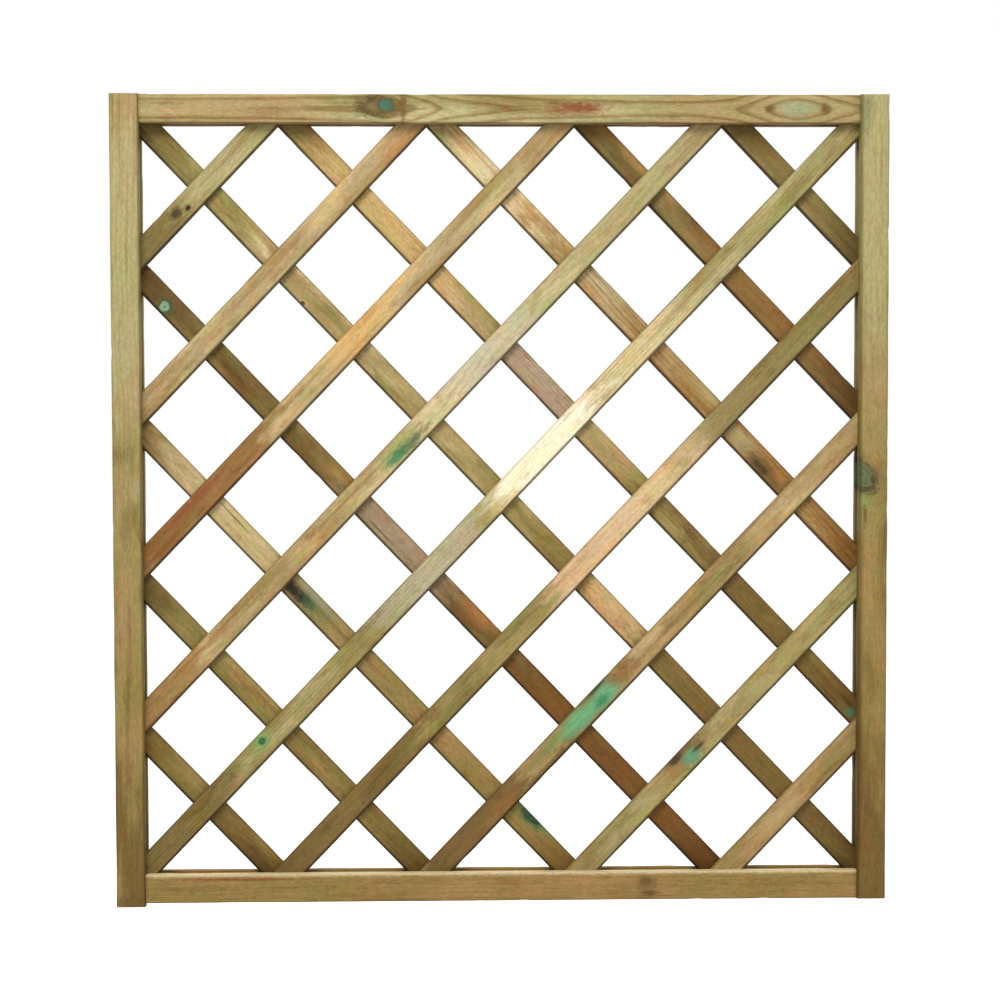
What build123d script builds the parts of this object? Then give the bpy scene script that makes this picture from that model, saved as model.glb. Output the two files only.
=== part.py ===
from build123d import *
import math
import os

os.makedirs("parts", exist_ok=True)

# Wooden lattice panel. X runs along the panel, Y through it and Z up.
# The front faces -Y. The origin is under the middle of the panel, level with its lowest end.
# All lengths are in millimetres.

# Frame
panel_width = 900
panel_height = 938        # over the top and bottom rails
left_horn = 3.5           # the left stile runs on this far below the bottom rail
member_width = 34         # stiles and rails, seen from the front
rail_depth = 34
stile_step = 2            # the stiles stand this far out of the rails, front and back
arris_radius = 2          # rounding along the edges of stiles and rails
groove_depth = 10
tenon_end_gap = 0.5       # between the end of a tenon and the bottom of the groove

# Lattice
laths_each_side = 4       # beside the middle lath, which runs between two corners
corner_share = 0.85       # of a lath step, left between the last lath and the corner
lattice_rise = 4.5        # the lattice sits this far above the middle of the frame
lath_width = 28.5
lath_thickness = 6
lath_arris_radius = 0.8
lath_side_clearance = 0.2  # in all, between the two layers of laths and the groove
lath_end_gap = 1          # between the end of a lath and the bottom of the groove

# Staples through the crossings
staple_wire = 1.2
staple_crown = 9
staple_leg_share = 0.6    # of the front lath's thickness that a leg goes into

# Screws through the corners
screw_length = 70
screw_shank = 4.5
screw_head = 9
screw_head_edge = 0.6     # height of the straight rim of the head
screw_tip_length = 6
recess_depth = 1.6
recess_width = 1.2
recess_span_share = 0.5   # of the head's width

# Worked-out sizes
stile_depth = rail_depth + 2 * stile_step
opening_width = panel_width - 2 * member_width
opening_height = panel_height - 2 * member_width
frame_bottom = left_horn
frame_top = frame_bottom + panel_height
frame_middle = (frame_bottom + frame_top) / 2
stile_centre_x = (panel_width - member_width) / 2
rail_centre_z = (panel_height - member_width) / 2
lattice_middle = frame_middle + lattice_rise
groove_width = 2 * lath_thickness + lath_side_clearance

lath_angle = math.atan2(opening_height, opening_width)
opening_diagonal = math.hypot(opening_width, opening_height)
corner_distance = opening_width * opening_height / opening_diagonal
lath_step = corner_distance / (laths_each_side + corner_share)
step_along_x = lath_step / math.sin(lath_angle)
step_along_z = lath_step / math.cos(lath_angle)
lath_numbers = range(-laths_each_side, laths_each_side + 1)


def rounded_bar(length, depth, width, radius):
    """A bar along X with its long edges rounded: depth along Y and width along Z."""
    section = Plane.YZ * RectangleRounded(depth, width, radius)
    return extrude(section, amount=length / 2, both=True)


def lattice_field():
    """The block that the laths are cut to: the opening and most of the groove around it."""
    reach = groove_depth - lath_end_gap
    return Pos(0, 0, frame_middle) * Box(
        opening_width + 2 * reach, 2 * groove_width, opening_height + 2 * reach
    )


def lath(number, lean, layer):
    """One lath. Lean is 1 for a lath that rises to the right; layer is -1 in front."""
    stock = rounded_bar(
        opening_diagonal + panel_width, lath_thickness, lath_width, lath_arris_radius
    )
    turned = Rot(0, -lean * math.degrees(lath_angle), 0) * stock
    placed = Pos(number * step_along_x, layer * lath_thickness / 2, lattice_middle) * turned
    return placed & lattice_field()


def crossing_point(front_number, rear_number):
    """Where a front lath crosses a rear lath, as X and Z."""
    x = (front_number + rear_number) / 2 * step_along_x
    z = (rear_number - front_number) / 2 * step_along_z
    return x, lattice_middle + z


def crossings():
    """The pairs of laths that cross inside the opening."""
    pairs = []
    for front_number in lath_numbers:
        for rear_number in lath_numbers:
            x, z = crossing_point(front_number, rear_number)
            if abs(x) < opening_width / 2 and abs(z - frame_middle) < opening_height / 2:
                pairs.append((front_number, rear_number))
    return pairs


def staple(front_number, rear_number):
    """A wire staple driven from the back, with its crown flush in the rear lath."""
    x, z = crossing_point(front_number, rear_number)
    leg = lath_thickness * (1 + staple_leg_share)
    crown = Pos(0, lath_thickness - staple_wire / 2, 0) * Box(staple_crown, staple_wire, staple_wire)
    leg_x = (staple_crown - staple_wire) / 2
    leg_y = lath_thickness - leg / 2
    legs = [Pos(side * leg_x, leg_y, 0) * Box(staple_wire, leg, staple_wire) for side in (-1, 1)]
    return Pos(x, 0, z) * (crown + legs)


def stile(side):
    """An upright of the frame, grooved along its inner face. Side is -1 on the left."""
    horn = left_horn if side < 0 else 0
    length = panel_height + horn
    bar = Rot(0, 90, 0) * rounded_bar(length, stile_depth, member_width, arris_radius)
    groove = Pos(-side * (member_width - groove_depth) / 2, 0, 0) * Box(
        groove_depth, groove_width, length
    )
    return Pos(side * stile_centre_x, 0, frame_top - length / 2) * (bar - groove)


def rail(side):
    """A crosspiece of the frame with a stub tenon at each end. Side is -1 at the bottom."""
    tenon = groove_depth - tenon_end_gap
    bar = rounded_bar(opening_width, rail_depth, member_width, arris_radius)
    tongue = Box(opening_width + 2 * tenon, groove_width, member_width)
    groove = Pos(0, 0, -side * (member_width - groove_depth) / 2) * Box(
        opening_width + 2 * tenon, groove_width, groove_depth
    )
    return Pos(0, 0, frame_middle + side * rail_centre_z) * (bar + tongue - groove)


def corner_screw(side, level):
    """A countersunk screw through a stile into the end of a rail."""
    cone_height = (screw_head - screw_shank) / 2
    straight = screw_length - screw_head_edge - cone_height - screw_tip_length
    outline = Polyline(
        (0, 0),
        (screw_head / 2, 0),
        (screw_head / 2, -screw_head_edge),
        (screw_shank / 2, -screw_head_edge - cone_height),
        (screw_shank / 2, -screw_head_edge - cone_height - straight),
        (0, -screw_length),
        close=True,
    )
    body = revolve(Plane.XZ * make_face(outline), Axis.Z)
    span = screw_head * recess_span_share
    depth = Pos(0, 0, -recess_depth / 2)
    recess = depth * Box(span, recess_width, recess_depth) + depth * Box(recess_width, span, recess_depth)
    turned = Rot(0, side * 90, 0) * (body - recess)
    return Pos(side * panel_width / 2, 0, frame_middle + level * rail_centre_z) * turned


def screw_seat(side, level):
    """The hole that a corner screw fills, with no recess in its head."""
    screw = corner_screw(side, level)
    plug = Box(recess_depth, screw_head * recess_span_share, screw_head * recess_span_share)
    at = Pos(side * (panel_width - recess_depth) / 2, 0, frame_middle + level * rail_centre_z)
    return screw + at * plug


def save(name, shape):
    """Write one named piece, or one group of alike fasteners."""
    shape.label = name
    export_step(shape, f"parts/{name}.step")


def save_group(name, solids):
    """Write several separate solids as one node."""
    save(name, Compound(children=solids))


# Lattice: the front laths count from the top left, the rear ones from the bottom left
staples = {pair: staple(*pair) for pair in crossings()}
for number in lath_numbers:
    place = number + laths_each_side + 1
    front = lath(number, 1, -1)
    rear = lath(number, -1, 1)
    for (front_number, rear_number), wire in staples.items():
        if front_number == number:
            front -= wire
        if rear_number == number:
            rear -= wire
    save(f"front_lath_{place}", front)
    save(f"rear_lath_{place}", rear)
save_group("crossing_staples", list(staples.values()))

# Frame
corners = [(side, level) for side in (-1, 1) for level in (-1, 1)]
stiles = {-1: stile(-1), 1: stile(1)}
rails = {-1: rail(-1), 1: rail(1)}
for side, level in corners:
    seat = screw_seat(side, level)
    stiles[side] -= seat
    rails[level] -= seat
save("left_stile", stiles[-1])
save("right_stile", stiles[1])
save("bottom_rail", rails[-1])
save("top_rail", rails[1])
save_group("corner_screws", [corner_screw(side, level) for side, level in corners])
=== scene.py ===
import math

import bmesh
import bpy
from mathutils import Matrix, Vector, noise


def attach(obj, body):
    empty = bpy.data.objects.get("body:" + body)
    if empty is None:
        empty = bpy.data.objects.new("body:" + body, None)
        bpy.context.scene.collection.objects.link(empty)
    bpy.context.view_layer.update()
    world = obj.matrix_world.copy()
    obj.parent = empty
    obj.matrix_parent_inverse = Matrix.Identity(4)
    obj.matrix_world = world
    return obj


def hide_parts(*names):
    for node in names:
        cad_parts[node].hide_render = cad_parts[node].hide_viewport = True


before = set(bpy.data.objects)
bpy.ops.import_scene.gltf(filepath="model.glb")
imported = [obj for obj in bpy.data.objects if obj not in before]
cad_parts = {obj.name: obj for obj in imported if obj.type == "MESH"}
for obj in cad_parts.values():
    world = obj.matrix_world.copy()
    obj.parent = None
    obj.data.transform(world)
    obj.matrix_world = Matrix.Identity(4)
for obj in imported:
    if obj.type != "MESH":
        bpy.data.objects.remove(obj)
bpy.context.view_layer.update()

# Sizes in metres, the same as the frame's
MM = 0.001
panel_width = 900 * MM
panel_height = 938 * MM    # over the top and bottom rails
left_horn = 3.5 * MM       # the left stile runs on this far below the bottom rail
member_width = 34 * MM
rail_depth = 34 * MM
stile_depth = 38 * MM
groove_depth = 10 * MM
groove_width = 12.2 * MM
tenon_length = 9.5 * MM
laths_each_side = 4
corner_share = 0.85        # of a lath step, left between the last lath and the corner
lattice_rise = 4.5 * MM    # the lattice sits this far above the middle of the frame
lath_width = 28.5 * MM
lath_thickness = 6 * MM
lath_reach = 9 * MM        # how far the laths run into the groove
staple_wire = 1.2 * MM
staple_crown = 9 * MM
staple_leg = 9.6 * MM
screw_head = 9 * MM

# Sizes of the looks alone
lath_arris = 1.1 * MM
rail_arris = 2.2 * MM
stile_arris = 2.4 * MM
cut_arris = 0.3 * MM       # along the grooves and the tenons
lath_wear = 0.55 * MM      # how deep the edges have worn
frame_wear = 0.9 * MM
tenon_wear = 0.1 * MM
tenon_root = 1 * MM        # how far the skin of a tenon starts inside the rail
staple_bend = 1.1 * MM
crown_sink = 0.15 * MM     # how far the crown's middle line lies under the back of the laths
staple_askew = math.radians(7)
seat_height = 5 * MM       # of the cone that cuts the seat of a screw
seat_over = 0.5 * MM       # how far that cone stands out of the stile
seat_bottom_radius = screw_head / 2 - 1.6 * MM
seat_mouth_radius = screw_head / 2 + 1.2 * MM
point_gap_along = 6 * MM   # between the points of a board's skin
point_gap_across = 4 * MM
arc_steps = 4              # in a quarter turn
wire_sides = 8
sharp_angle = math.radians(50)

# Worked-out sizes
opening_width = panel_width - 2 * member_width
opening_height = panel_height - 2 * member_width
frame_top = left_horn + panel_height
frame_middle = left_horn + panel_height / 2
lattice_middle = frame_middle + lattice_rise
stile_x = (panel_width - member_width) / 2
rail_rise = (panel_height - member_width) / 2
lath_angle = math.atan2(opening_height, opening_width)
corner_distance = opening_width * opening_height / math.hypot(opening_width, opening_height)
lath_step = corner_distance / (laths_each_side + corner_share)
step_x = lath_step / math.sin(lath_angle)
step_z = lath_step / math.cos(lath_angle)
lath_numbers = range(-laths_each_side, laths_each_side + 1)

# Camera: it stands a little left of the middle and looks slightly down, as in the photograph
picture_size = 1000        # width and height of the image, in pixels
focal_pixels = 2143
sensor = 36                # its width, in the millimetres that a camera takes
camera_place = Vector((-64 * MM, -2501 * MM, 586 * MM))
camera_yaw = math.radians(1.43)
camera_pitch = math.radians(2.59)
camera_roll = math.radians(-0.12)


def camera_axes():
    """The camera's right, up and forward directions."""
    right = Vector((math.cos(camera_yaw), -math.sin(camera_yaw), 0))
    level = Vector((math.sin(camera_yaw), math.cos(camera_yaw), 0))
    forward = level * math.cos(camera_pitch) - Vector((0, 0, 1)) * math.sin(camera_pitch)
    up = right.cross(forward)
    turned_right = right * math.cos(camera_roll) + up * math.sin(camera_roll)
    return turned_right, turned_right.cross(forward), forward


def panel_point(pixel_x, pixel_y, depth=-lath_thickness):
    """The point of the panel that the photograph shows at a pixel, on a plane at that depth."""
    right, up, forward = camera_axes()
    across = (pixel_x - picture_size / 2) / focal_pixels
    down = (pixel_y - picture_size / 2) / focal_pixels
    ray = forward + right * across - up * down
    return camera_place + ray * ((depth - camera_place.y) / ray.y)


# Tones of the wood and of its marks, as sRGB
TONES = {
    "sepia": (96, 76, 38),
    "umber": (110, 84, 42),
    "pond": (102, 112, 72),
    "rust": (142, 99, 52),
    "drab": (124, 105, 60),
    "moss": (132, 119, 70),
    "ochre": (160, 125, 74),
    "olive": (152, 138, 86),
    "tan": (170, 146, 101),
    "mauve": (164, 144, 120),
    "sage": (172, 161, 114),
    "sand": (188, 167, 122),
    "honey": (213, 177, 118),
    "ash": (186, 178, 150),
    "straw": (205, 187, 143),
    "blush": (216, 186, 146),
    "cream": (234, 218, 174),
    "ivory": (248, 238, 206),
    "orange": (196, 122, 66),
    "red": (134, 74, 42),
    "bark": (66, 50, 30),
    "pitch": (46, 40, 26),
    "bottle": (44, 84, 54),
    "jade": (62, 128, 84),
    "teal": (72, 106, 82),
    "verdigris": (98, 154, 116),
    "celadon": (142, 168, 134),
    "mint": (104, 170, 120),
    "lichen": (128, 156, 84),
}


def tone(name):
    """A named tone as linear colour."""
    def linear(value):
        value /= 255
        return value / 12.92 if value <= 0.04045 else ((value + 0.055) / 1.055) ** 2.4
    return tuple(linear(v) for v in TONES[name]) + (1,)


class Nodes:
    """A node tree and short ways to add nodes to it."""

    def __init__(self, tree):
        self.tree = tree
        self.tree.nodes.clear()

    def node(self, kind, inputs=(), **settings):
        made = self.tree.nodes.new(kind)
        for key, value in settings.items():
            setattr(made, key, value)
        for key, value in dict(inputs).items():
            self.put(made.inputs[key], value)
        return made

    def put(self, socket, value):
        if isinstance(value, bpy.types.NodeSocket):
            self.tree.links.new(value, socket)
        else:
            socket.default_value = value

    def math(self, operation, *values):
        return self.node("ShaderNodeMath", enumerate(values), operation=operation).outputs[0]

    def vector(self, operation, a, b=(0, 0, 0)):
        made = self.node("ShaderNodeVectorMath", {0: a, 1: b}, operation=operation)
        return made.outputs["Value" if operation == "LENGTH" else "Vector"]

    def noise(self, place, stretch, detail=2, roughness=0.5):
        scaled = self.vector("MULTIPLY", place, stretch)
        made = self.node(
            "ShaderNodeTexNoise",
            {"Vector": scaled, "Scale": 1, "Detail": detail, "Roughness": roughness},
        )
        return made.outputs["Fac"]

    def remap(self, value, low, high, to_low=0, to_high=1, smooth=True):
        made = self.node(
            "ShaderNodeMapRange",
            {"Value": value, "From Min": low, "From Max": high, "To Min": to_low, "To Max": to_high},
            interpolation_type="SMOOTHSTEP" if smooth else "LINEAR",
        )
        return made.outputs["Result"]

    def ramp(self, value, stops):
        made = self.node("ShaderNodeValToRGB", {"Fac": value})
        band = made.color_ramp
        band.interpolation = "CARDINAL"
        band.elements.remove(band.elements[1])
        for k, (place, colour) in enumerate(stops):
            stop = band.elements[0] if k == 0 else band.elements.new(place)
            stop.position = place
            stop.color = colour
        return made.outputs["Color"]

    def mix(self, share, a, b, blend="MIX"):
        made = self.node("ShaderNodeMix", data_type="RGBA", blend_type=blend)
        self.put(made.inputs[0], share)
        self.put(made.inputs[6], a)
        self.put(made.inputs[7], b)
        return made.outputs[2]

    def parts(self, vector):
        return self.node("ShaderNodeSeparateXYZ", {0: vector}).outputs

    def curve(self, value, stops):
        """A ramp of plain numbers from 0 to 1."""
        greys = [(place, (level, level, level, 1)) for place, level in stops]
        return self.node("ShaderNodeSeparateColor", {0: self.ramp(value, greys)}).outputs[0]


class Shader(Nodes):
    """The nodes of a material."""

    def __init__(self, name):
        self.material = bpy.data.materials.new(name)
        self.material.use_nodes = True
        super().__init__(self.material.node_tree)

    def finish(self, **inputs):
        named = {key.replace("_", " "): value for key, value in inputs.items()}
        surface = self.node("ShaderNodeBsdfPrincipled", named)
        self.node("ShaderNodeOutputMaterial", {"Surface": surface.outputs["BSDF"]})
        return self.material


# Noise in the wood, as patches per metre along, through and across the grain
FIBRE_NOISE = (9, 330, 330)
HAIR_NOISE = (45, 1200, 1200)
FLECK_NOISE = (170, 420, 420)
RAGGED_NOISE = (60, 120, 120)
STREAK_NOISE = (5, 130, 130)
CHECK_NOISE = (6, 230, 230)
CHECKED_AREA_NOISE = (7, 22, 22)
PATCH_NOISE = (8, 28, 28)
LOBE_NOISE = (22, 60, 60)
RING_WANDER_NOISE = (3.5, 0.6, 0.6)
RING_SWAY_NOISE = (9, 30, 30)
RING_FADE_NOISE = (6, 45, 45)
SEED_STEP = (0.83, 0.47, 0.59)   # how far each seed moves a board through the noise
ring_wander = 24 * MM
ring_sway = 5 * MM
ripples_in_knot = 15             # radians of a knot's own rings, from its middle to its rim
edge_wobble = 1.6 * MM
joint_reach = 5 * MM             # how far the shade of a stile lies over a rail
grain_relief = 0.5 * MM
LATE_WOOD_TINT = (0.64, 0.52, 0.4)
STREAK_TINT = (0.66, 0.46, 0.3)
streak_strength = 0.45
check_strength = 0.75
joint_strength = 0.6
cut_end_strength = 0.6
part_raggedness = 1.6            # how far noise moves the rim of a part, in half sizes of it
mark_raggedness = 0.9            # and of a knot or a stain
# Shade of the wood by its fibres: the limits of each layer's noise, and the shades at them
SHADES = {
    "fibre": (0.25, 0.75, 0.93, 1.08),
    "hair": (0.2, 0.8, 0.93, 1.07),
    "fleck": (0.25, 0.75, 0.78, 1.2),
}
# How far each layer of the grain stands out, as a share of the relief
RELIEF = {"fibre": 0.8, "late": 0.35, "hair": 0.25, "fleck": 0.9, "check": -1.4}
# Clouds of treatment and heartwood colour: tint, offset, patches per metre, limits and share
MOTTLES = [
    ((1.08, 0.9, 0.7), (5, 1, 2), (10, 48, 48), 0.54, 0.68, 0.5),
    ((0.88, 1.03, 0.78), (7, 4, 9), (12, 52, 52), 0.52, 0.66, 0.6),
    ((1.1, 0.93, 0.75), (1, 8, 5), (26, 60, 60), 0.5, 0.64, 0.55),
    ((0.85, 1.03, 0.78), (3, 5, 7), (22, 55, 55), 0.5, 0.66, 0.6),
    ((1.08, 0.86, 1.02), (9, 2, 4), (30, 75, 75), 0.56, 0.7, 0.5),
    ((0.62, 0.52, 0.4), (6, 6, 1), (36, 100, 100), 0.55, 0.7, 0.5),
    ((1.2, 1.16, 1.1), (2, 9, 9), (48, 110, 110), 0.56, 0.7, 0.5),
]


def mark_distance(s, spot, mark):
    """0 in the middle of an ellipse along the grain, 1 at its rim, and more outside it."""
    along, across = mark["size"]
    away = s.vector("SUBTRACT", spot, (mark["centre"][0], 0, mark["centre"][1]))
    if mark.get("lean"):
        x, _, z = s.parts(away)
        z = s.math("MULTIPLY_ADD", x, -mark["lean"], z)
        away = s.node("ShaderNodeCombineXYZ", {0: x, 2: z}).outputs[0]
    return s.vector("LENGTH", s.vector("MULTIPLY", away, (2 / along, 0, 2 / across)))


def uneven(s, distance, spread, *layers):
    """A distance with its contours made ragged by layers of noise."""
    for layer in layers:
        distance = s.math("MULTIPLY_ADD", s.math("SUBTRACT", layer, 0.5), spread, distance)
    return distance


def grain_place(s, spot, knots):
    """Places in the board with the grain pushed aside round each knot."""
    x, y, z = s.parts(spot)
    for knot in knots:
        middle = knot["centre"][1]
        near = s.remap(mark_distance(s, spot, knot), 0.4, 3.6, 0.12, 1)
        z = s.math("MULTIPLY_ADD", s.math("SUBTRACT", z, middle), near, middle)
    return s.node("ShaderNodeCombineXYZ", {0: x, 1: y, 2: z}).outputs[0]


# One ring from the middle outwards: pale early wood that darkens to late wood, then a quick end
RING_PROFILE = [(0, 0.25), (0.1, 0), (0.5, 0.1), (0.82, 1), (0.93, 0.9), (1, 0.25)]


def growth_rings(s, board, place, own):
    """0 in early wood and 1 in the dark late wood of each ring."""
    x, y, z = s.parts(place)
    off_y = s.math("ADD", y, board["pith"][0])
    off_z = s.math("ADD", z, board["pith"][1])
    radius = s.vector("LENGTH", s.node("ShaderNodeCombineXYZ", {1: off_y, 2: off_z}).outputs[0])
    if "figure" in board:
        # The pith comes nearer the face and goes away again, which draws the arches
        rise = s.curve(s.remap(x, *board["span"], smooth=False), board["figure"])
        radius = s.math("MULTIPLY_ADD", rise, board["figure_height"], radius)
    else:
        wander = s.math("SUBTRACT", s.noise(own, RING_WANDER_NOISE, 1), 0.5)
        radius = s.math("MULTIPLY_ADD", wander, ring_wander, radius)
    sway = s.math("SUBTRACT", s.noise(own, RING_SWAY_NOISE), 0.5)
    radius = s.math("MULTIPLY_ADD", sway, ring_sway, radius)
    phase = s.math("FRACT", s.math("DIVIDE", radius, board["ring"]))
    fade = s.remap(s.noise(own, RING_FADE_NOISE), 0.3, 0.65, board["least_ring"], 1)
    return s.math("MULTIPLY", s.curve(phase, RING_PROFILE), fade)


def panel_light_and_shade(s, board, spot):
    """How much painted light, darkening and painted shade the wood has by its place in the panel, from
    0 to 1.
    """
    turned = {"Vector": spot, "Location": board["place"], "Rotation": board["turn"]}
    panel = s.node("ShaderNodeMapping", turned).outputs[0]
    x, _, z = s.parts(panel)
    # A painted pool of light round one place of the panel
    middle = panel_point(*LIGHT_POOL_PIXEL)
    away = s.vector("LENGTH", s.vector("MULTIPLY", s.vector("SUBTRACT", panel, middle), (1, 0, 1)))
    pale = s.remap(away, light_pool_reach, 0, 0, board["light_pool_share"])
    # Darker and browner low down and to the right
    low_darkening = s.remap(s.math("MULTIPLY_ADD", x, -darkening_lean, z), darkening_top, 0, 0, board["darkening_share"])
    # Painted shade where the laths run into the frame
    beside = s.math("SUBTRACT", opening_width / 2, s.math("ABSOLUTE", x))
    above = s.math("ABSOLUTE", s.math("SUBTRACT", z, frame_middle))
    above = s.math("SUBTRACT", opening_height / 2, above)
    frame_shade = s.remap(s.math("MINIMUM", beside, above), frame_shade_reach, 0, 0, board["frame_shade_share"])
    return pale, low_darkening, frame_shade


def tinted(s, share, colour, tint):
    """Lays a tint over part of a colour."""
    return s.mix(share, colour, s.mix(1, colour, (*tint, 1), "MULTIPLY"))


def grain_layers(s, board, spot):
    """The board's place in the noise, the layers of its grain, and the shade of its fibres."""
    place = grain_place(s, spot, board["knots"])
    own = s.vector("ADD", place, tuple(board["seed"] * step for step in SEED_STEP))
    check = s.remap(s.noise(own, CHECK_NOISE, 1), 0.7, 0.76)
    checked_area = s.remap(s.noise(own, CHECKED_AREA_NOISE), 0.52, 0.66)
    grain = {
        "own": own,
        "late": growth_rings(s, board, place, own),
        "fibre": s.noise(own, FIBRE_NOISE, 3, 0.6),
        "hair": s.noise(own, HAIR_NOISE, 2, 0.6),
        "fleck": s.noise(own, FLECK_NOISE, 3, 0.65),
        "ragged": s.noise(own, RAGGED_NOISE, 3, 0.65),
        "streak": s.remap(s.noise(own, STREAK_NOISE), 0.56, 0.7),
        "check": s.math("MULTIPLY", check, checked_area),
    }
    shade = 1
    for layer, limits in SHADES.items():
        shade = s.math("MULTIPLY", shade, s.remap(grain[layer], *limits, smooth=False))
    grain["shade"] = s.node("ShaderNodeCombineColor", {0: shade, 1: shade, 2: shade}).outputs[0]
    return grain


def shaded(s, grain, colour):
    """A colour with the shade of the fibres on it."""
    return s.mix(1, colour, grain["shade"], "MULTIPLY")


def own_colour(s, board, spot, grain):
    """The board's own wood, paler or deeper in long patches, with painted light and shade by its place
    in the panel.
    """
    pale, low_darkening, frame_shade = panel_light_and_shade(s, board, spot)
    patch = s.noise(grain["own"], PATCH_NOISE, 3, 0.6)
    depth = s.remap(patch, 0.33, 0.67, *board["patches"], smooth=False)
    # The painted pool of light moves the wood towards its palest tone
    depth = s.math("MULTIPLY_ADD", pale, light_pool_lift, depth)
    # Darker low down
    depth = s.math("MULTIPLY_ADD", low_darkening, -darkening_drop, depth)
    last = len(board["wood"]) - 1
    colour = s.ramp(depth, [(k / last, tone(name)) for k, name in enumerate(board["wood"])])
    lobes = s.noise(grain["own"], LOBE_NOISE, 3, 0.6)
    for part in board["parts"]:
        distance = uneven(s, mark_distance(s, spot, part), part_raggedness, lobes)
        mask = s.remap(distance, 1.15, 0.6, 0, part["strength"])
        colour = s.mix(mask, colour, tone(part["tone"]))
    # Browner low down
    colour = tinted(s, low_darkening, colour, DARKENING_TINT)
    # The painted pool of light
    colour = tinted(s, pale, colour, LIGHT_POOL_TINT)
    # Painted shade where the laths meet the frame
    colour = tinted(s, frame_shade, colour, PAINTED_SHADE_TINT)
    for tint, offset, size, low, high, share in MOTTLES:
        cloud = s.noise(s.vector("ADD", grain["own"], offset), size, 3, 0.6)
        colour = tinted(s, s.remap(cloud, low, high, 0, share * board["mottling"]), colour, tint)
    return colour


def add_grain(s, board, grain, colour):
    """Dark late wood, streaks, the shade of the fibres, and fine checks that open along them."""
    colour = tinted(s, s.math("MULTIPLY", grain["late"], board["contrast"]), colour, LATE_WOOD_TINT)
    colour = tinted(s, s.math("MULTIPLY", grain["streak"], streak_strength), colour, STREAK_TINT)
    colour = shaded(s, grain, colour)
    return s.mix(s.math("MULTIPLY", grain["check"], check_strength), colour, tone("bark"))


def ragged_distance(s, spot, grain, mark):
    """The distance from a knot or a stain, with a ragged rim."""
    layers = grain["ragged"], grain["fleck"]
    return uneven(s, mark_distance(s, spot, mark), mark_raggedness, *layers)


def add_stains(s, board, spot, grain, colour):
    """Stains, which lie on the front of the wood alone."""
    front = s.remap(s.parts(spot)[1], MM, -MM)
    for stain in board["stains"]:
        distance = ragged_distance(s, spot, grain, stain)
        mask = s.math("MULTIPLY", s.remap(distance, 1.3, 0.3, 0, stain["strength"]), front)
        colour = s.mix(mask, colour, shaded(s, grain, tone(stain["tone"])))
    return colour


def add_knots(s, board, spot, grain, colour):
    """Knots right through: a stained surround, a broken dark rim and a core with faint rings."""
    broken = s.remap(grain["ragged"], 0.36, 0.6, 0.4, 0.95)
    for knot in board["knots"]:
        distance = ragged_distance(s, spot, grain, knot)
        ripple = s.math("SINE", s.math("MULTIPLY", distance, ripples_in_knot))
        colour = s.mix(s.remap(distance, 2.3, 0.9, 0, 0.7), colour, tone(knot["halo"]))
        rim = s.math("MULTIPLY", s.remap(distance, 1.4, 0.95), broken)
        colour = s.mix(rim, colour, tone(knot["rim"]))
        core = s.mix(s.remap(ripple, -1, 1, 0, 0.3), tone(knot["core"]), tone(knot["rim"]))
        colour = s.mix(s.remap(distance, 1, 0.6), colour, shaded(s, grain, core))
        colour = s.mix(s.remap(distance, 0.36, 0.12, 0, knot["pith"]), colour, tone(knot["rim"]))
    return colour


def add_edges(s, board, spot, grain, colour):
    """Painted shade along the edges of a board, and a painted highlight on the front lip of the bottom
    rail.
    """
    _, y, z = s.parts(spot)
    half = board["width"] / 2
    wobble = s.math("MULTIPLY", s.math("SUBTRACT", grain["fleck"], 0.5), edge_wobble)
    for side, tint, depth, share, *lip in board["edges"]:
        reach = s.math("ADD", s.math("MULTIPLY", z, side), wobble)
        mask = s.remap(reach, half - depth, half - depth * 0.4, 0, share)
        if lip:
            mask = s.math("MULTIPLY", mask, s.remap(s.math("MULTIPLY", y, lip[0]), 0, MM))
        if isinstance(tint, str):
            colour = s.mix(mask, colour, shaded(s, grain, tone(tint)))
        else:
            colour = tinted(s, mask, colour, tint)
    return colour


def add_joint_shade(s, board, spot, colour):
    """Painted shade on a rail where it runs into the stiles."""
    away = s.math("ABSOLUTE", s.parts(spot)[0])
    mask = s.remap(away, board["joint"] - joint_reach, board["joint"], 0, joint_strength)
    return tinted(s, mask, colour, PAINTED_SHADE_TINT)


def add_cut_ends(s, grain, colour):
    """The ends of a board, which are darker and show the rings."""
    facing = s.parts(s.node("ShaderNodeTexCoord").outputs["Normal"])[0]
    mask = s.remap(s.math("ABSOLUTE", facing), 0.6, 0.9, 0, cut_end_strength)
    return s.mix(mask, colour, s.mix(grain["late"], tone("drab"), tone("sepia")))


def wood(board):
    """Treated softwood with its grain along X."""
    s = Shader(board["name"])
    spot = s.node("ShaderNodeTexCoord").outputs["Object"]
    grain = grain_layers(s, board, spot)
    colour = own_colour(s, board, spot, grain)
    colour = add_grain(s, board, grain, colour)
    colour = add_stains(s, board, spot, grain, colour)
    colour = add_knots(s, board, spot, grain, colour)
    colour = add_edges(s, board, spot, grain, colour)
    if "joint" in board:
        colour = add_joint_shade(s, board, spot, colour)
    colour = add_cut_ends(s, grain, colour)

    height = 0
    for layer, share in RELIEF.items():
        height = s.math("MULTIPLY_ADD", grain[layer], share, height)
    bump = s.node("ShaderNodeBump", {"Strength": 0.7, "Distance": grain_relief, "Height": height})
    rough = s.remap(grain["fibre"], 0.2, 0.8, 0.6, 0.85, smooth=False)
    rough = s.math("MULTIPLY_ADD", grain["late"], -0.12, rough)
    return s.finish(
        Base_Color=colour, Roughness=rough, Normal=bump.outputs["Normal"], Specular_IOR_Level=0.2
    )


def quarter_turn():
    """The angles of a rounded corner."""
    return [math.radians(90) * step / arc_steps for step in range(arc_steps + 1)]


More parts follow.
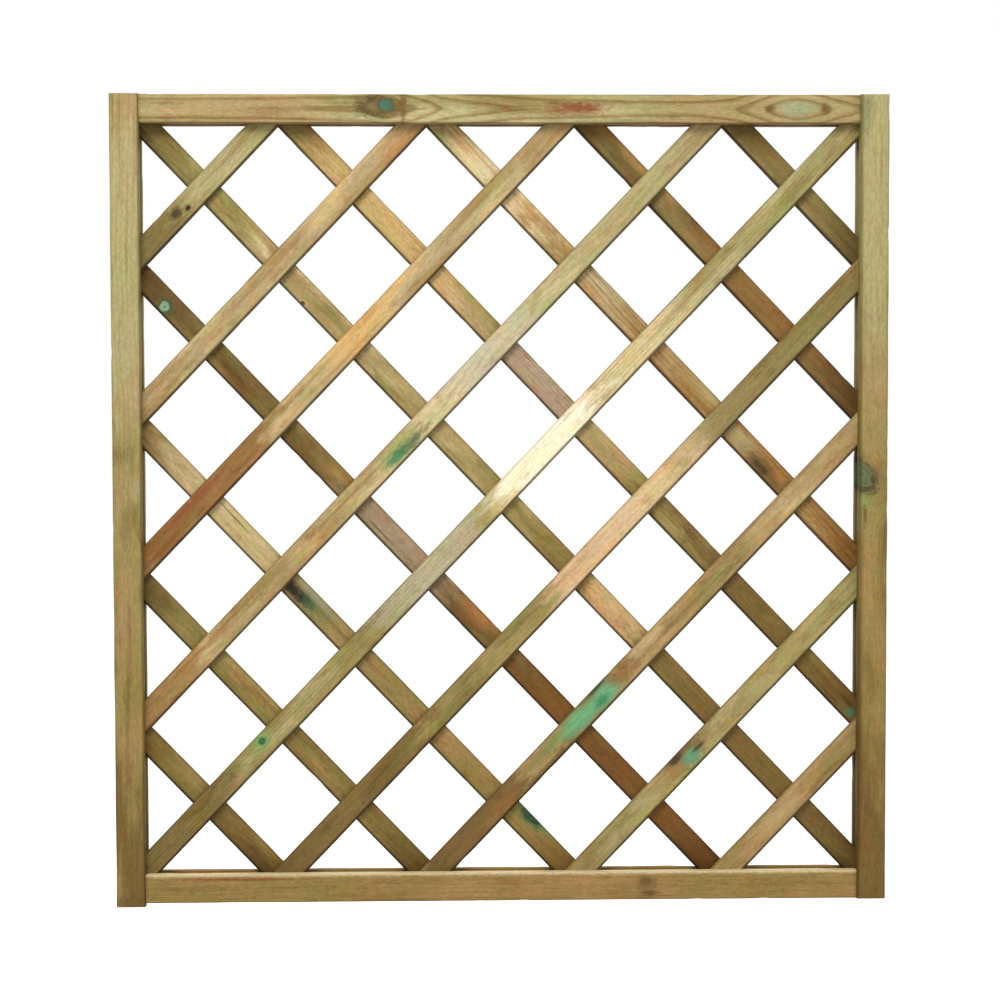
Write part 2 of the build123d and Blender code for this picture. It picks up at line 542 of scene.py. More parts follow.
def outline(corners):
    """A closed outline in Y and Z from right-angled corners (y, z, radius).

    Each point comes with its outward direction and 1 on a rounded corner or 0 on a flat."""
    points = []
    for k, (y, z, radius) in enumerate(corners):
        next_y, next_z, next_radius = corners[(k + 1) % len(corners)]
        here = Vector((y, z))
        back = (Vector(corners[k - 1][:2]) - here).normalized()
        ahead = Vector((next_y, next_z)) - here
        onward = ahead.normalized()
        turns_out = back.x * onward.y - back.y * onward.x < 0
        centre = here + (back + onward) * radius
        for turn in quarter_turn():
            spoke = -onward * math.cos(turn) - back * math.sin(turn)
            points.append((centre + spoke * radius, spoke if turns_out else -spoke, 1))
        run = ahead.length - radius - next_radius
        pieces = max(1, round(run / point_gap_across))
        side = Vector((onward.y, -onward.x))
        for step in range(1, pieces):
            point = here + onward * (radius + run * step / pieces)
            points.append((point, side, 0))
    return points


# Wear: its noise in patches per metre, and its depths as shares of what a piece has worn
WEAR_NOISE = Vector((18, 60, 60))
WEAR_SEED_STEP = Vector((1, 2, 3))
CHIP_OFFSET = Vector((9, 9, 9))
chip_scale = 2.2           # how much closer together the chips are
chip_start = 0.35          # the level of the noise above which an edge is chipped
flat_wear_share = 0.25
edge_wear_share = 0.7
chip_share = 3.2


def worn(point, seed, on_edge, wear):
    """How far the surface has gone back from its true place."""
    spot = point * WEAR_NOISE + WEAR_SEED_STEP * seed
    soft = 0.5 + 0.5 * noise.noise(spot)
    if not on_edge:
        return wear * flat_wear_share * soft
    chip = max(0, noise.noise(spot * chip_scale + CHIP_OFFSET) - chip_start)
    return wear * (edge_wear_share * soft + chip_share * chip)


def skin_rows(mesh, rows):
    """Skin closed rows of points, one after the other, and close both ends."""
    size = len(rows[0])
    for low, high in zip(rows, rows[1:]):
        for k in range(size):
            n = (k + 1) % size
            mesh.faces.new((low[k], high[k], high[n], low[n]))
    mesh.faces.new(rows[0])
    mesh.faces.new(reversed(rows[-1]))


def sweep(mesh, points, start, end, seed, wear):
    """Skin an outline along X. Start and end give X for a height across the board."""
    longest = max(end(p.y) - start(p.y) for p, _, _ in points)
    count = max(2, round(longest / point_gap_along))
    rows = []
    for k in range(count + 1):
        row = []
        for point, outward, on_edge in points:
            x = start(point.y) + (end(point.y) - start(point.y)) * k / count
            place = Vector((x, point.x, point.y))
            back = worn(place, seed, on_edge, wear)
            row.append(mesh.verts.new(place - Vector((0, outward.x, outward.y)) * back))
        rows.append(row)
    skin_rows(mesh, rows)


def add_object(name, data):
    """A new object in the scene."""
    made = bpy.data.objects.new(name, data)
    bpy.context.scene.collection.objects.link(made)
    return made


def add_mesh(name, mesh):
    """Turn a bmesh into an object."""
    data = bpy.data.meshes.new(name)
    mesh.to_mesh(data)
    mesh.free()
    return add_object(name, data)


def make_piece(name, mesh, matrix, material, nodes):
    """Turn a bmesh into a piece that stands for CAD nodes."""
    bmesh.ops.recalc_face_normals(mesh, faces=mesh.faces)
    made = add_mesh(name, mesh)
    made.matrix_world = matrix
    made.data.shade_smooth()
    made.data.set_sharp_from_angle(angle=sharp_angle)
    made.data.materials.append(material)
    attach(made, "root")
    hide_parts(*nodes)
    return made


def rectangle(depth, width, radius):
    """The corners of a board with a plain section."""
    y, z = depth / 2, width / 2
    return [(-y, -z, radius), (y, -z, radius), (y, z, radius), (-y, z, radius)]


def grooved(depth, width, radius, side):
    """A rectangle with a groove in the middle of its upper (side 1) or lower side."""
    y, z = depth / 2, width / 2
    g, floor = groove_width / 2, width / 2 - groove_depth
    notch = [(g, z, cut_arris), (g, floor, cut_arris), (-g, floor, cut_arris), (-g, z, cut_arris)]
    upright = [(-y, -z, radius), (y, -z, radius), (y, z, radius), *notch, (-y, z, radius)]
    if side > 0:
        return upright
    return [(-a, -b, r) for a, b, r in upright]


# Kinds of wood in the panel, each from its deepest tone to its palest
WOODS = {
    "green": ("moss", "olive", "sage", "straw"),
    "straw": ("moss", "olive", "sand", "cream"),
    "sand": ("olive", "tan", "sand", "straw"),
    "sage": ("moss", "olive", "tan", "sage"),
    "pale": ("olive", "sage", "sage", "sand"),
    "honey": ("ochre", "tan", "sand", "honey"),
    "tan": ("drab", "olive", "tan", "sand"),
    "brown": ("umber", "drab", "ochre", "tan"),
    "dull": ("drab", "moss", "olive", "tan"),
}
# The kind that each board is cut from
FRAME_WOODS = {"left_stile": "tan", "right_stile": "tan", "top_rail": "green", "bottom_rail": "sand"}
FRONT_WOODS = ["green", "honey", "honey", "sand", "green", "tan", "sand", "pale", "sand"]
REAR_WOODS = ["tan", "sage", "sand", "brown", "straw", "tan", "honey", "brown", "dull"]
# Seeds of the noise in each board: a lath's is its place in its layer, with this much more behind
rear_seed = 10
FRAME_SEEDS = {"top_rail": 21, "bottom_rail": 22, "left_stile": 23, "right_stile": 24}

# Painted light and shade over the whole panel: a painted pool of light round a place above and right of
# the middle, darker and browner low down and to the right, and painted shade where the laths meet the
# frame
# Painted pool of light: its middle, its reach, its tint and how far it lifts the wood
LIGHT_POOL_PIXEL = (560, 430)
light_pool_reach = 300 * MM
LIGHT_POOL_TINT = (1.12, 1.14, 1.2)
light_pool_lift = 0.6           # how far it moves a board's own wood towards its palest tone
# Darker and browner wood low down and to the right
darkening_top = 820 * MM       # above this height nothing is darkened
darkening_lean = 0.25          # how far that height falls towards the left, as a share of the way
DARKENING_TINT = (0.88, 0.74, 0.58)
darkening_drop = 0.35          # how far it moves a board's own wood towards its deepest tone
# Painted shade where the laths meet the frame: its reach and tint, the tint also shading the rails at
# the stiles
frame_shade_reach = 60 * MM
PAINTED_SHADE_TINT = (0.6, 0.52, 0.38)
# How far each layer takes part in it, how deep and how pale its long patches of colour go, and the
# strength of its clouds
LAYERS = {
    "frame": {"light_pool_share": 0, "darkening_share": 1, "frame_shade_share": 0, "patches": (0.2, 0.78), "mottling": 0.6},
    "front": {"light_pool_share": 1, "darkening_share": 0.4, "frame_shade_share": 0.3, "patches": (0.14, 0.92), "mottling": 1},
    "rear": {"light_pool_share": 0.7, "darkening_share": 1, "frame_shade_share": 0.9, "patches": (-0.08, 0.74), "mottling": 1},
}


def knot(x, y, along, across, core="pitch", rim="bark", halo="drab", pith=0.7, lean=0):
    """A knot at a pixel of the photograph, with its size in millimetres and its lean off the grain."""
    colours = {"core": core, "rim": rim, "halo": halo, "pith": pith}
    return {"pixel": (x, y), "size": (along * MM, across * MM), "lean": lean, **colours}


def stain(x, y, along, across, colour, strength=0.6):
    """A stain or a part of a board at a pixel of the photograph, with its size in millimetres."""
    return {"pixel": (x, y), "size": (along * MM, across * MM), "tone": colour, "strength": strength}


# Parts of a board whose wood is plainly of another colour in the photograph, right through it
PARTS = {
    "left_stile": {"grey-green upper part": stain(118, 262, 390, 70, "sage", 0.85)},
    "right_stile": {"grey-green upper part": stain(872, 190, 420, 70, "sage", 0.9)},
    "top_rail": {
        "tan left part": stain(225, 107, 240, 70, "tan", 0.8),
        "brown right part": stain(750, 108, 260, 70, "tan", 0.7),
    },
    "front_lath_1": {
        "dark lower end": stain(150, 243, 130, 70, "drab", 0.8),
        "grey-green upper half": stain(240, 155, 200, 90, "sage", 0.8),
    },
    "front_lath_3": {"brown lower half": stain(195, 497, 330, 70, "rust", 0.9)},
    "front_lath_4": {
        "green upper part": stain(640, 205, 340, 90, "sage", 0.85),
        "greyed part": stain(483, 347, 150, 90, "ash", 0.7),
        "brown end": stain(165, 697, 150, 90, "ochre", 0.8),
    },
    "front_lath_5": {
        # A painted highlight in the middle of this lath
        "painted highlight": stain(542, 447, 200, 70, "ivory", 0.9),
        "greyed part": stain(425, 565, 200, 90, "ash", 0.7),
        "brown lower end": stain(180, 825, 200, 90, "drab", 0.7),
    },
    "front_lath_6": {
        "dark upper half": stain(786, 358, 340, 90, "moss", 0.8),
        "pale pink middle": stain(626, 524, 260, 90, "blush", 0.9),
        "brown lower end": stain(345, 802, 330, 90, "umber", 0.65),
    },
    "front_lath_7": {"red-brown foot": stain(470, 840, 180, 90, "umber", 0.8)},
    "rear_lath_3": {"pale upper part": stain(218, 508, 230, 90, "straw", 0.8)},
    "rear_lath_4": {
        "mauve middle": stain(404, 548, 190, 90, "mauve", 0.9),
        "red-brown lower half": stain(610, 756, 360, 90, "rust", 0.35),
    },
    "rear_lath_5": {
        "dark olive lower half": stain(750, 745, 380, 90, "drab", 0.85),
        "pink patch": stain(614, 610, 110, 60, "blush", 0.8),
    },
    "rear_lath_6": {
        "honey upper part": stain(372, 212, 300, 90, "honey", 0.6),
        "mauve part": stain(534, 378, 150, 90, "mauve", 0.9),
    },
    "rear_lath_7": {"pale upper end": stain(480, 172, 230, 90, "cream", 0.6)},
    "rear_lath_8": {"orange-brown part": stain(765, 302, 260, 60, "rust", 0.6)},
    "rear_lath_9": {"dark olive wood": stain(800, 190, 300, 90, "drab", 0.6)},
}
# The knots and stains that can be seen in the photograph, by board
KNOTS = {
    "top_rail": {"green knot": knot(386, 105, 16, 15, "teal", "bottle", "umber", 0.3)},
    "bottom_rail": {"small brown knot": knot(646, 881, 11, 9, "umber", "sepia", "drab", 0)},
    "right_stile": {"knot at the inner edge": knot(858, 473, 40, 34, "pond", "pitch", "drab", 0, 0.6)},
    "front_lath_1": {"pin knot": knot(188, 208, 6, 5, "pitch", "pitch", "drab")},
    "front_lath_5": {"green knot": knot(262, 741, 10, 8, "bottle", "jade", "lichen")},
    "rear_lath_3": {"black knot": knot(531, 816, 24, 10, "bottle", "pitch", "bottle")},
    "rear_lath_4": {"pale green knot": knot(165, 307, 16, 14, "celadon", "bottle", "sepia")},
    "rear_lath_5": {"dark slit": knot(303, 303, 6, 4, "bark", "umber", "sand")},
    "rear_lath_7": {"brown knot": knot(760, 467, 26, 9, "bark", "sepia", "umber", 0)},
}
STAINS = {
    "left_stile": {
        "orange streak": stain(116, 403, 28, 3, "orange", 0.6),
        "brown band": stain(118, 456, 30, 26, "drab", 0.6),
        "pale green patch": stain(134, 490, 34, 14, "sage", 0.6),
        "pink streak": stain(129, 640, 80, 8, "rust", 0.35),
        "red streak": stain(129, 776, 46, 5, "red", 0.4),
        "dark foot": stain(127, 903, 20, 44, "sepia", 0.5),
    },
    "right_stile": {
        "grey-green patch at the top": stain(866, 112, 70, 18, "pond", 0.5),
        "orange beside the knot": stain(879, 467, 26, 9, "rust", 0.5),
        "pale line under the knot": stain(869, 489, 4, 18, "celadon", 0.6),
        "green under the knot": stain(866, 497, 28, 24, "lichen", 0.7),
        "short crack": stain(865, 515, 30, 6, "sepia", 0.8),
    },
    "top_rail": {
        "dark grain by the left joint": stain(165, 103, 60, 4, "moss", 0.6),
        "reddish patch": stain(272, 111, 60, 12, "rust", 0.35),
        "drop-shaped surround": stain(377, 105, 56, 30, "sepia", 1),
        "dark middle of it": stain(372, 105, 44, 26, "bark", 0.6),
        "paler wood inside it": stain(375, 106, 26, 14, "moss", 0.7),
        "brown split": stain(403, 107, 8, 44, "umber", 0.9),
        "speck beside the split": stain(412, 107, 7, 9, "moss", 0.6),
        "tip of the second arch": stain(506, 108, 14, 9, "red", 0.5),
        "red streak": stain(577, 108, 72, 15, "red", 0.95),
        "grain over the red streak": stain(560, 103, 50, 4, "umber", 0.6),
        "green in the eye": stain(797, 108, 52, 22, "celadon", 0.45),
        "left tip of the eye": stain(770, 109, 14, 12, "umber", 0.9),
        "right tip of the eye": stain(826, 109, 12, 16, "umber", 0.9),
    },
    "bottom_rail": {
        "red line under the lip": stain(240, 879, 180, 5, "red", 0.8),
        "brown wood round the knot": stain(647, 887, 30, 34, "umber", 0.6),
        "dark foot of the knot": stain(650, 893, 18, 8, "sepia", 0.8),
    },
    "front_lath_1": {"ragged dark patch": stain(176, 213, 18, 13, "bark", 0.9)},
    "front_lath_2": {"orange end": stain(397, 145, 70, 26, "orange", 0.35)},
    "front_lath_3": {
        "red streak": stain(190, 505, 110, 12, "red", 0.7),
        "orange patch": stain(362, 320, 70, 14, "orange", 0.4),
    },
    "front_lath_4": {
        "green veil": stain(402, 446, 80, 30, "lichen", 0.5),
        "dark green heart": stain(409, 445, 64, 14, "bottle", 0.7),
        "jade lower edge": stain(396, 458, 34, 14, "jade", 0.8),
    },
    "front_lath_5": {"green round the knot": stain(263, 741, 38, 24, "lichen", 0.7)},
    "front_lath_7": {
        "brown wood round the smear": stain(590, 704, 150, 44, "umber", 0.8),
        "pale tail of the smear": stain(570, 726, 110, 18, "lichen", 0.6),
        "smear, upper part": stain(606, 694, 50, 26, "mint", 0.95),
        "smear, lower part": stain(582, 717, 70, 26, "mint", 0.9),
        "ring in the smear": stain(602, 701, 24, 12, "jade", 0.8),
        "dark line over the smear": stain(595, 690, 34, 5, "bottle", 0.9),
        "brown streak below": stain(548, 770, 110, 14, "umber", 0.9),
        "red-brown patch in the foot": stain(502, 806, 60, 18, "rust", 0.7),
        "brown wood above it": stain(622, 673, 48, 20, "rust", 0.75),
    },
    "front_lath_8": {
        "dark wood round the smear": stain(686, 754, 70, 36, "umber", 0.8),
        "golden brown below it": stain(675, 769, 36, 20, "ochre", 0.8),
        "smear": stain(692, 756, 32, 20, "verdigris", 0.9),
        "black spot": stain(675, 760, 24, 12, "pitch", 0.8),
        "dark line above it": stain(699, 746, 24, 6, "bark", 0.8),
    },
    "rear_lath_3": {
        "grey-green veil": stain(316, 606, 56, 30, "pond", 0.6),
        "bottle green smear": stain(305, 599, 40, 18, "bottle", 0.8),
        "black smear": stain(294, 590, 42, 18, "pitch", 1),
        "grey upper edge": stain(316, 597, 70, 12, "ash", 0.3),
        "green round the knot": stain(535, 820, 50, 20, "jade", 0.7),
    },
    "rear_lath_4": {
        "dark wood beside the knot": stain(178, 312, 50, 20, "sepia", 0.7),
        "orange patch": stain(476, 614, 60, 26, "orange", 0.35),
    },
    "rear_lath_6": {"green spot": stain(850, 712, 14, 12, "jade", 0.8)},
    "rear_lath_7": {
        "brown streak": stain(676, 386, 100, 9, "rust", 0.7),
        "yellow-green wood above the knot": stain(741, 442, 60, 24, "sage", 0.6),
        "dark wood round the knot": stain(767, 473, 74, 30, "sepia", 0.7),
        "golden wood beside the knot": stain(779, 476, 22, 14, "orange", 0.35),
    },
}
# How far the rings of the top rail stand out of its face, in rings, from left to right: the
# grain draws two arches that point right, and a closed eye near the right end
TOP_RAIL_FIGURE = [
    (140, 0.6), (300, 0.3), (395, 0.1), (415, 0.32), (440, 1.32), (505, 2.32), (600, 2.7),
    (690, 2.75), (736, 2.32), (765, 1.32), (797, 0.45), (830, 1.32), (852, 2), (862, 2.2),
]
top_rail_rings = 3
top_rail_pixel_y = 109
top_rail_ring = 9 * MM
top_rail_pith = 22 * MM
# Painted shade along the edges of a board; on the bottom rail a painted highlight on the front lip
# and a darker back lip. 1 is a board's +Z side. Tint or tone, how far it reaches over the face,
# strength, and for a grooved edge the lip it is on, -1 in front
LATH_EDGE_SHADE = [(-1, (0.13, 0.11, 0.07), 4.2 * MM, 0.92), (1, (0.45, 0.4, 0.3), 2.2 * MM, 0.6)]
FRAME_EDGE_SHADE_AND_HIGHLIGHT = {
    "top_rail": [(-1, (0.5, 0.34, 0.24), 2.6 * MM, 0.7), (1, (0.7, 0.66, 0.5), 2 * MM, 0.4)],
    "bottom_rail": [
        (-1, (0.5, 0.42, 0.3), 2.6 * MM, 0.5),
        # Painted highlight on the top of the front lip
        (1, "sand", 5.5 * MM, 0.6, -1),
        (1, "straw", 3 * MM, 0.8, -1),
        # A darker back lip
        (1, (0.7, 0.6, 0.4), 3 * MM, 0.8, 1),
    ],
    "left_stile": [(-1, (0.5, 0.5, 0.3), 3 * MM, 0.7), (1, (0.75, 0.8, 0.6), 3 * MM, 0.5)],
    "right_stile": [(1, (0.45, 0.44, 0.25), 5 * MM, 0.85), (-1, (0.75, 0.7, 0.6), 2.5 * MM, 0.5)],
}


def to_board(matrix, marks, depth):
    """The same marks with their middles in the board's own X and Z."""
    back = matrix.inverted()
    placed = []
    for mark in marks:
        point = back @ panel_point(*mark["pixel"], depth)
        placed.append({**mark, "centre": (point.x, point.z)})
    return placed


def log_cut(seed, mottling):
    """Where the pith lies beside a board, how wide its rings are and how strongly they show."""
    return {
        "pith": ((14 + 9 * (seed % 5)) * MM, (-22 + 11 * (seed % 6)) * MM),
        "ring": (3.4 + 0.45 * (seed % 4)) * MM,
        "contrast": mottling * (0.24 + 0.09 * (seed % 3)),
        "least_ring": 0.3,
    }


def top_rail_figure(depth):
    """The large arched rings of the top rail."""
    half = opening_width / 2

    def placed(pixel):
        x = panel_point(pixel, top_rail_pixel_y, depth).x
        return min(1, max(0, (x + half) / (2 * half)))

    return {
        "pith": (top_rail_pith, 0),
        "ring": top_rail_ring,
        "span": (-half, half),
        "figure": [(placed(pixel), height / top_rail_rings) for pixel, height in TOP_RAIL_FIGURE],
        "figure_height": top_rail_rings * top_rail_ring,
        "contrast": 1,
        "least_ring": 0.8,
    }


def board_material(name, wood_kind, seed, matrix, width, depth):
    """The wood of one board, whose front face is at that depth."""
    layer = LAYERS[name.split("_")[0] if "lath" in name else "frame"]
    board = {
        **layer,
        **log_cut(seed, layer["mottling"]),
        "name": name,
        "wood": WOODS[wood_kind],
        "seed": seed,
        "place": matrix.to_translation(),
        "turn": matrix.to_euler(),
        "width": width,
        "parts": to_board(matrix, PARTS.get(name, {}).values(), depth),
        "knots": to_board(matrix, KNOTS.get(name, {}).values(), depth),
        "stains": to_board(matrix, STAINS.get(name, {}).values(), depth),
        # Painted shade along the edges, and the painted highlight of the bottom rail's lip
        "edges": FRAME_EDGE_SHADE_AND_HIGHLIGHT.get(name, LATH_EDGE_SHADE),
    }
    if "rail" in name:
        board["joint"] = opening_width / 2
    if name == "top_rail":
        board.update(top_rail_figure(depth))
    return wood(board)


def flat_end(x):
    """A square end: the same X at every height across the board."""
    return lambda z: x


def build_lath(place, lean):
    """One lath, cut to the field that the opening and the groove leave for it."""
    number = place - laths_each_side - 1
    layer = "front" if lean > 0 else "rear"
    name = f"{layer}_lath_{place}"
    seed = place + (0 if lean > 0 else rear_seed)
    run = Vector((math.cos(lath_angle), lean * math.sin(lath_angle)))
    rise = Vector((-run.y, run.x))
    middle = Vector((number * step_x, lattice_middle))
    matrix = Matrix.Translation((middle.x, -lean * lath_thickness / 2, middle.y))
    matrix @= Matrix.Rotation(-lean * lath_angle, 4, "Y")
    half = Vector((opening_width / 2 + lath_reach, opening_height / 2 + lath_reach))

    def limits(z):
        """Where the lath starts and ends at a height across it."""
        start = middle + rise * z - Vector((0, frame_middle))
        spans = []
        for k in (0, 1):
            spans.append(sorted(((-half[k] - start[k]) / run[k], (half[k] - start[k]) / run[k])))
        return max(span[0] for span in spans), min(span[1] for span in spans)

    depth = -lath_thickness if lean > 0 else 0
    kind = (FRONT_WOODS if lean > 0 else REAR_WOODS)[place - 1]
    material = board_material(name, kind, seed, matrix, lath_width, depth)
    mesh = bmesh.new()
    points = outline(rectangle(lath_thickness, lath_width, lath_arris))
    sweep(mesh, points, lambda z: limits(z)[0], lambda z: limits(z)[1], seed, lath_wear)
    return make_piece(name + "_wood", mesh, matrix, material, [name])


def build_rail(name, side):
    """A rail with its groove and stub tenons."""
    matrix = Matrix.Translation((0, 0, frame_middle + side * rail_rise))
    seed = FRAME_SEEDS[name]
    half = opening_width / 2
    material = board_material(name, FRAME_WOODS[name], seed, matrix, member_width, -rail_depth / 2)
    mesh = bmesh.new()
    points = outline(grooved(rail_depth, member_width, rail_arris, -side))
    sweep(mesh, points, flat_end(-half), flat_end(half), seed, frame_wear)
    tongue = outline(rectangle(groove_width, member_width - groove_depth, cut_arris))
    lift = side * groove_depth / 2
    tongue = [(Vector((p.x, p.y + lift)), outward, on_edge) for p, outward, on_edge in tongue]
    for end in (-1, 1):
        low, high = sorted((end * (half - tenon_root), end * (half + tenon_length)))
        sweep(mesh, tongue, flat_end(low), flat_end(high), seed, tenon_wear)
    return make_piece(name + "_wood", mesh, matrix, material, [name])


def build_stile(name, side):
    """A stile with its groove and the countersunk seats of its screws."""
    length = panel_height + (left_horn if side < 0 else 0)
    matrix = Matrix.Translation((side * stile_x, 0, frame_top - length / 2))
    matrix @= Matrix.Rotation(math.radians(-90), 4, "Y")
    seed = FRAME_SEEDS[name]
    material = board_material(name, FRAME_WOODS[name], seed, matrix, member_width, -stile_depth / 2)
    mesh = bmesh.new()
    points = outline(grooved(stile_depth, member_width, stile_arris, side))
    sweep(mesh, points, flat_end(-length / 2), flat_end(length / 2), seed, frame_wear)
    made = make_piece(name + "_wood", mesh, matrix, material, [name])
    cut_screw_seats(made, side)
    return made


def cut_screw_seats(stile, side):
    """Open the countersinks that the heads of the corner screws sit in."""
    mesh = bmesh.new()
    x = side * (panel_width / 2 + seat_over - seat_height / 2)
    for level in (-1, 1):
        place = Matrix.Translation((x, 0, frame_middle + level * rail_rise))
        place @= Matrix.Rotation(math.radians(90 * side), 4, "Y")
        bmesh.ops.create_cone(
            mesh, segments=24, radius1=seat_bottom_radius, radius2=seat_mouth_radius,
            depth=seat_height, cap_ends=True, matrix=place,
        )
    cutter = add_mesh("seats", mesh)
    cut = stile.modifiers.new("seats", "BOOLEAN")
    cut.operation = "DIFFERENCE"
    cut.object = cutter
    cut.solver = "EXACT"
    bpy.context.view_layer.update()
    solved = bpy.data.meshes.new_from_object(stile.evaluated_get(bpy.context.evaluated_depsgraph_get()))
    stile.modifiers.clear()
    stile.data = solved
    solved.set_sharp_from_angle(angle=sharp_angle)
    bpy.data.objects.remove(cutter)


def staple_path():
    """The middle line of a staple: leg, rounded corner, crown, rounded corner, leg."""
    half = (staple_crown - staple_wire) / 2
    top = lath_thickness - crown_sink
    path = [Vector((-half, top - staple_leg, 0))]
    for side in (-1, 1):
        turn = []
        for angle in quarter_turn():
            x = half - staple_bend + staple_bend * math.cos(angle)
            y = top - staple_bend + staple_bend * math.sin(angle)
            turn.append(Vector((side * x, y, 0)))
        path += turn if side < 0 else turn[::-1]
    return path + [Vector((half, top - staple_leg, 0))]


def add_staple(mesh, matrix):
    """A bent wire with a round section."""
    path = staple_path()
    rows = []
    for k, point in enumerate(path):
        before, after = path[max(0, k - 1)], path[min(len(path) - 1, k + 1)]
        run = (after - before).normalized()
        out = Vector((run.y, -run.x, 0))
        row = []
        for step in range(wire_sides):
            angle = math.tau * step / wire_sides
            offset = out * math.cos(angle) + Vector((0, 0, 1)) * math.sin(angle)
            row.append(mesh.verts.new(matrix @ (point + offset * staple_wire / 2)))
        rows.append(row)
    skin_rows(mesh, rows)


# Metals: bright plating, dull plating and rust
METALS = {
    "staple_zinc": ((0.5, 0.5, 0.48, 1), (0.3, 0.31, 0.31, 1), (0.17, 0.07, 0.03, 1)),
    "screw_plating": ((0.62, 0.5, 0.24, 1), (0.42, 0.36, 0.22, 1), (0.15, 0.07, 0.03, 1)),
}
CLOUD_NOISE = (900, 900, 900)
SCRATCH_NOISE = (300, 4000, 4000)
RUST_NOISE = (260, 260, 260)
metal_relief = 0.1 * MM


def metal(name):
    """Plated steel with a mottled plating, scratches and a little rust."""
    s = Shader(name)
    bright, dull, rust = METALS[name]
    spot = s.node("ShaderNodeTexCoord").outputs["Object"]
    cloud = s.noise(spot, CLOUD_NOISE, 4, 0.6)
    scratch = s.noise(spot, SCRATCH_NOISE)
    spots = s.remap(s.noise(spot, RUST_NOISE, 4, 0.7), 0.56, 0.66, 0, 0.8)
    base = s.mix(s.remap(cloud, 0.3, 0.7), bright, dull)
    base = s.mix(spots, base, rust)
    height = s.math("ADD", cloud, s.math("MULTIPLY", scratch, 0.5))
    bump = s.node("ShaderNodeBump", {"Strength": 0.4, "Distance": metal_relief, "Height": height})
    rough = s.remap(scratch, 0.2, 0.8, 0.32, 0.5, smooth=False)
    rough = s.math("MULTIPLY_ADD", spots, 0.35, rough)
    plate = s.remap(spots, 0, 0.8, 1, 0.2, smooth=False)
    return s.finish(Base_Color=base, Metallic=plate, Roughness=rough, Normal=bump.outputs["Normal"])


ASKEW_STEP = (1.7, 2.3, 0.5)   # through the noise from lath to lath, and the level it is read at


def build_staples():
    """One staple at each crossing, each driven a little askew."""
    mesh = bmesh.new()
    for front in lath_numbers:
        for rear in lath_numbers:
            x, z = (front + rear) / 2 * step_x, (rear - front) / 2 * step_z
            if abs(x) < opening_width / 2 and abs(z + lattice_rise) < opening_height / 2:
                spot = Vector((front * ASKEW_STEP[0], rear * ASKEW_STEP[1], ASKEW_STEP[2]))
                askew = staple_askew * noise.noise(spot)
                matrix = Matrix.Translation((x, 0, lattice_middle + z)) @ Matrix.Rotation(askew, 4, "Y")
                add_staple(mesh, matrix)
    steel = metal("staple_zinc")
    return make_piece(
        "crossing_staples_wire", mesh, Matrix.Identity(4), steel, ["crossing_staples"]
    )


def dress_screws():
    """The CAD screws stay, with their plating."""
    plating = metal("screw_plating")
    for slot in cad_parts["corner_screws"].material_slots:
        slot.material = plating


WHITE = (1, 1, 1, 1)
FLOOR_COLOUR = (0.82, 0.82, 0.81, 1)
floor_glow = 0.75          # makes it plain white to the camera
floor_size = 14            # in metres, as are its level and the lamps
floor_level = -0.62
surround_strength = 0.44
# Lamps: place, size and power in watts
LAMPS = {
    "key": ((-0.7, -2.0, 3.0), 1.6, 90),
    "fill": ((1.8, -2.4, 1.0), 1.6, 12),
    "back": ((0.4, 2.4, 2.2), 2.0, 40),
}


def seen_rays(s):
    """1 for rays that come from the camera, straight, mirrored or through glass."""
    path = s.node("ShaderNodeLightPath").outputs
    seen = s.math("MAXIMUM", path["Is Camera Ray"], path["Is Glossy Ray"])
    return s.math("MAXIMUM", seen, path["Is Transmission Ray"])


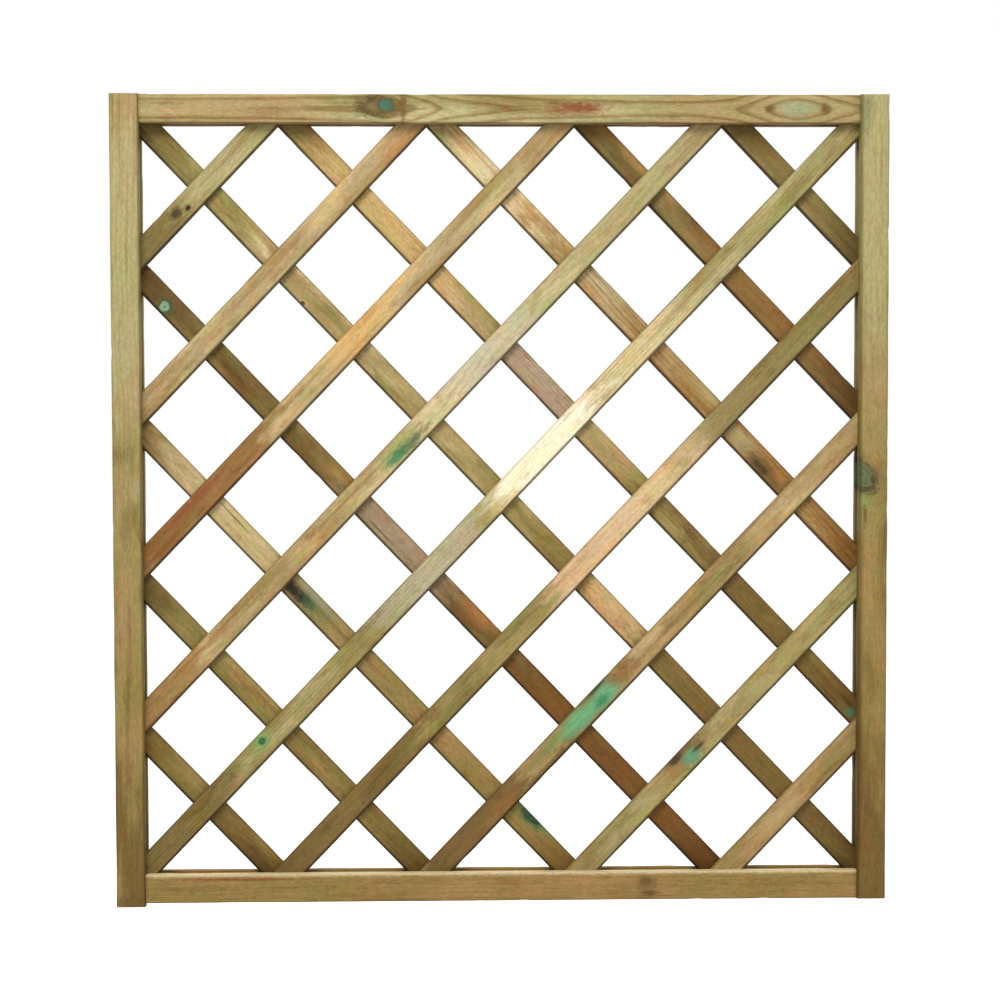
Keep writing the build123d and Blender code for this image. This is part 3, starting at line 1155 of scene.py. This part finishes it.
def build_floor():
    """A plain pale floor below the hung panel, white to the camera but keeping its shadow."""
    s = Shader("floor")
    glow = s.math("MULTIPLY", seen_rays(s), floor_glow)
    matt = s.node("ShaderNodeBsdfDiffuse", {"Color": FLOOR_COLOUR}).outputs[0]
    lit = s.node("ShaderNodeEmission", {"Color": WHITE, "Strength": glow}).outputs[0]
    both = s.node("ShaderNodeAddShader", {0: matt, 1: lit}).outputs[0]
    s.node("ShaderNodeOutputMaterial", {"Surface": both})
    mesh = bmesh.new()
    bmesh.ops.create_grid(mesh, x_segments=1, y_segments=1, size=floor_size)
    floor = add_mesh("floor", mesh)
    floor.data.materials.append(s.material)
    floor.location = (0, 0, floor_level)


def build_world():
    """A soft white surround, plain white where the camera sees it."""
    world = bpy.data.worlds.new("studio")
    world.use_nodes = True
    s = Nodes(world.node_tree)
    soft = s.node("ShaderNodeBackground", {"Color": WHITE, "Strength": surround_strength}).outputs[0]
    plain = s.node("ShaderNodeBackground", {"Color": WHITE, "Strength": 1}).outputs[0]
    mixed = s.node("ShaderNodeMixShader", {0: seen_rays(s), 1: soft, 2: plain}).outputs[0]
    s.node("ShaderNodeOutputWorld", {"Surface": mixed})
    bpy.context.scene.world = world


def add_lamp(name, place, size, watts):
    """A soft square lamp that faces the middle of the panel."""
    data = bpy.data.lights.new(name, "AREA")
    data.shape = "SQUARE"
    data.size = size
    data.energy = watts
    lamp = add_object(name, data)
    lamp.location = place
    aim = Vector((0, 0, frame_middle)) - Vector(place)
    lamp.rotation_mode = "QUATERNION"
    lamp.rotation_quaternion = aim.to_track_quat("-Z", "Y")


def add_camera():
    """The camera at the photograph's place and angle."""
    data = bpy.data.cameras.new("camera")
    data.sensor_width = sensor
    data.lens = focal_pixels / picture_size * sensor
    camera = add_object("camera", data)
    right, up, forward = camera_axes()
    turn = Matrix((right, up, -forward)).transposed()
    camera.matrix_world = Matrix.Translation(camera_place) @ turn.to_4x4()
    bpy.context.scene.camera = camera


for place in range(1, len(lath_numbers) + 1):
    build_lath(place, 1)
    build_lath(place, -1)
build_rail("top_rail", 1)
build_rail("bottom_rail", -1)
build_stile("left_stile", -1)
build_stile("right_stile", 1)
build_staples()
dress_screws()
build_floor()
build_world()
for name, (place, size, watts) in LAMPS.items():
    add_lamp(name, place, size, watts)
add_camera()

bpy.context.scene.view_settings.view_transform = "Standard"
bpy.context.view_layer.update()
